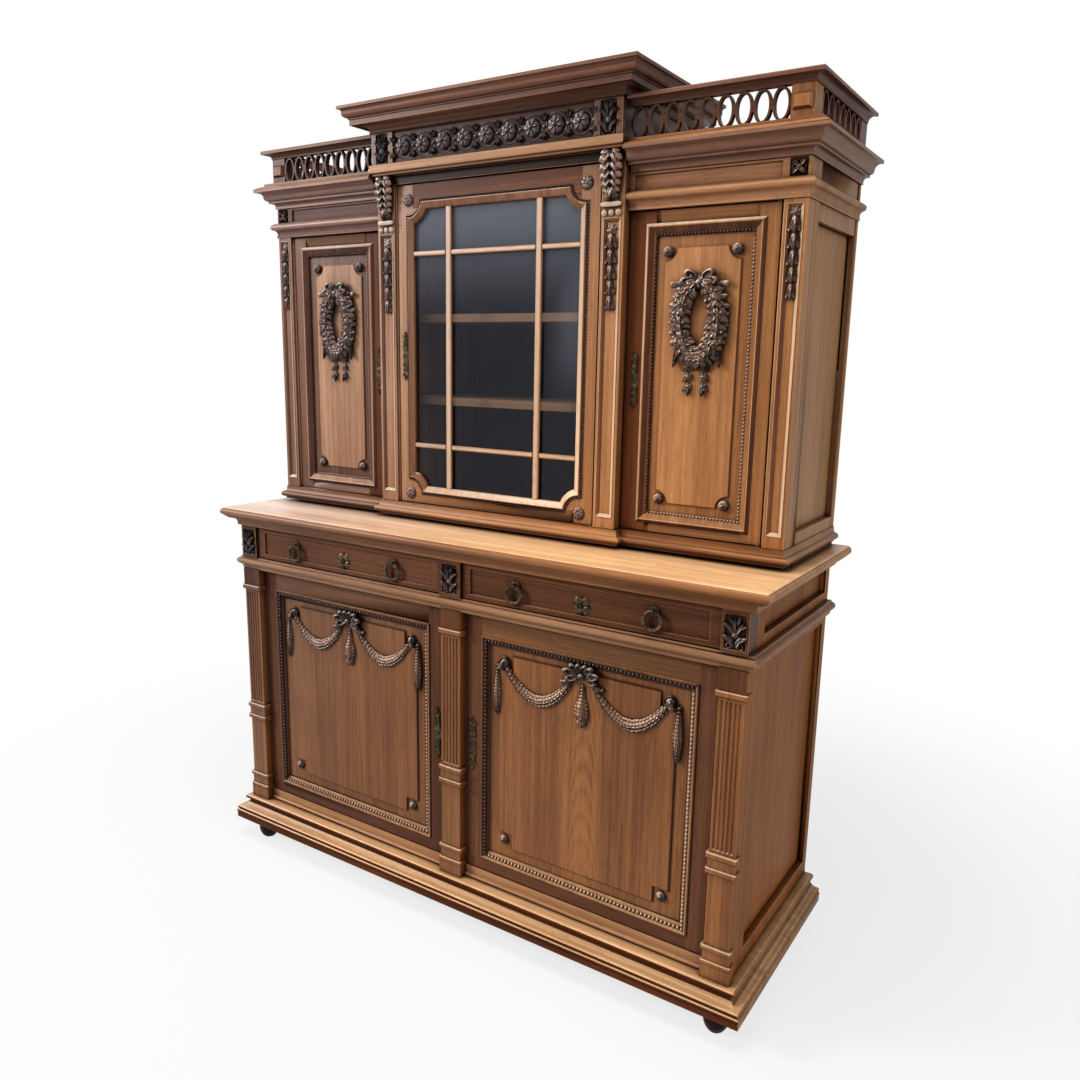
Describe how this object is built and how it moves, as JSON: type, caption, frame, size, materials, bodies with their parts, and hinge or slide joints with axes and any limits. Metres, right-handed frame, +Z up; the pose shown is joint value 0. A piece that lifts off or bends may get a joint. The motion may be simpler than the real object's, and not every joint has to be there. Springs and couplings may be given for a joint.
{
  "type": "buffet",
  "caption": "Two-part carved walnut buffet: cupboards and drawers below, panelled wings and a glazed cupboard above, with pierced galleries, on bun feet.",
  "frame": {"origin": "on the floor under the middle of the object's box", "axes": "+Z up, front towards -Y, +X to the right of a person facing the front"},
  "size_m": [1.702, 0.61, 2.17],
  "materials": {
    "walnut": "satin varnish",
    "carved_walnut": "dark waxed",
    "inner_boards": "plain",
    "patinated_brass": "dark patina",
    "pivot_steel": "dull",
    "glass": "clear"
  },
  "bodies": {
    "case": {"bun_feet": "walnut", "plinth": "walnut", "lower_floor": "walnut", "lower_pilasters": "walnut", "lower_sides": "walnut", "lower_divider": "walnut", "waist_moulding": "walnut", "frieze_blocks": "walnut", "counter_top": "walnut", "upper_base": "walnut", "upper_sides": "walnut", "upper_partitions": "walnut", "upper_pilasters": "walnut", "wing_friezes": "walnut", "wing_cornices": "walnut", "gallery_rails": "walnut", "gallery_fretwork": "walnut", "crown_frieze": "walnut", "crown_cornice": "walnut", "lower_back": "inner_boards", "lower_shelves": "inner_boards", "drawer_runners": "inner_boards", "upper_back": "inner_boards", "upper_roof": "inner_boards", "upper_shelves": "inner_boards", "pilaster_carvings": "carved_walnut", "crown_rosettes": "carved_walnut", "carved_plaques": "carved_walnut", "hinge_pivots": "pivot_steel"},
    "lower_door_right": {"lower_door_frame_right": "walnut", "lower_door_panel_right": "walnut", "lower_door_carving_right": "carved_walnut", "lower_door_lock_right": "patinated_brass"},
    "wing_door_right": {"wing_door_frame_right": "walnut", "wing_door_panel_right": "walnut", "wing_door_carving_right": "carved_walnut", "wing_door_lock_right": "patinated_brass"},
    "drawer_right": {"drawer_front_right": "walnut", "drawer_box_right": "inner_boards", "drawer_fittings_right": "patinated_brass"},
    "pull_ring_inner_right": {"pull_ring_inner_right": "patinated_brass"},
    "pull_ring_outer_right": {"pull_ring_outer_right": "patinated_brass"},
    "lower_door_left": {"lower_door_frame_left": "walnut", "lower_door_panel_left": "walnut", "lower_door_carving_left": "carved_walnut", "lower_door_lock_left": "patinated_brass"},
    "wing_door_left": {"wing_door_frame_left": "walnut", "wing_door_panel_left": "walnut", "wing_door_carving_left": "carved_walnut", "wing_door_lock_left": "patinated_brass"},
    "drawer_left": {"drawer_front_left": "walnut", "drawer_box_left": "inner_boards", "drawer_fittings_left": "patinated_brass"},
    "pull_ring_inner_left": {"pull_ring_inner_left": "patinated_brass"},
    "pull_ring_outer_left": {"pull_ring_outer_left": "patinated_brass"},
    "centre_door": {"centre_door_frame": "walnut", "glazing_bars": "walnut", "centre_door_glass": "glass", "centre_door_bosses": "carved_walnut", "centre_door_lock": "patinated_brass"}
  },
  "joints": [
    {"name": "lower_door_right_hinge", "type": "hinge", "parent": "case", "child": "lower_door_right", "pos_m": [0.723, -0.239, 0.5325], "axis": [0, 0, 1], "range_deg": [0, 92]},
    {"name": "wing_door_right_hinge", "type": "hinge", "parent": "case", "child": "wing_door_right", "pos_m": [0.735, -0.069, 1.494], "axis": [0, 0, 1], "range_deg": [0, 100]},
    {"name": "drawer_right_slide", "type": "slide", "parent": "case", "child": "drawer_right", "axis": [0, -1, 0], "range_m": [0, 0.34]},
    {"name": "pull_ring_inner_right_hinge", "type": "hinge", "parent": "drawer_right", "child": "pull_ring_inner_right", "pos_m": [0.198, -0.267, 0.984], "axis": [-1, 0, 0], "range_deg": [0, 100]},
    {"name": "pull_ring_outer_right_hinge", "type": "hinge", "parent": "drawer_right", "child": "pull_ring_outer_right", "pos_m": [0.574, -0.267, 0.984], "axis": [-1, 0, 0], "range_deg": [0, 100]},
    {"name": "lower_door_left_hinge", "type": "hinge", "parent": "case", "child": "lower_door_left", "pos_m": [-0.723, -0.239, 0.5325], "axis": [0, 0, -1], "range_deg": [0, 92]},
    {"name": "wing_door_left_hinge", "type": "hinge", "parent": "case", "child": "wing_door_left", "pos_m": [-0.735, -0.069, 1.494], "axis": [0, 0, -1], "range_deg": [0, 100]},
    {"name": "drawer_left_slide", "type": "slide", "parent": "case", "child": "drawer_left", "axis": [0, -1, 0], "range_m": [0, 0.34]},
    {"name": "pull_ring_inner_left_hinge", "type": "hinge", "parent": "drawer_left", "child": "pull_ring_inner_left", "pos_m": [-0.198, -0.267, 0.984], "axis": [-1, 0, 0], "range_deg": [0, 100]},
    {"name": "pull_ring_outer_left_hinge", "type": "hinge", "parent": "drawer_left", "child": "pull_ring_outer_left", "pos_m": [-0.574, -0.267, 0.984], "axis": [-1, 0, 0], "range_deg": [0, 100]},
    {"name": "centre_door_hinge", "type": "hinge", "parent": "case", "child": "centre_door", "pos_m": [0.307, -0.089, 1.549], "axis": [0, 0, 1], "range_deg": [0, 90]}
  ]
}
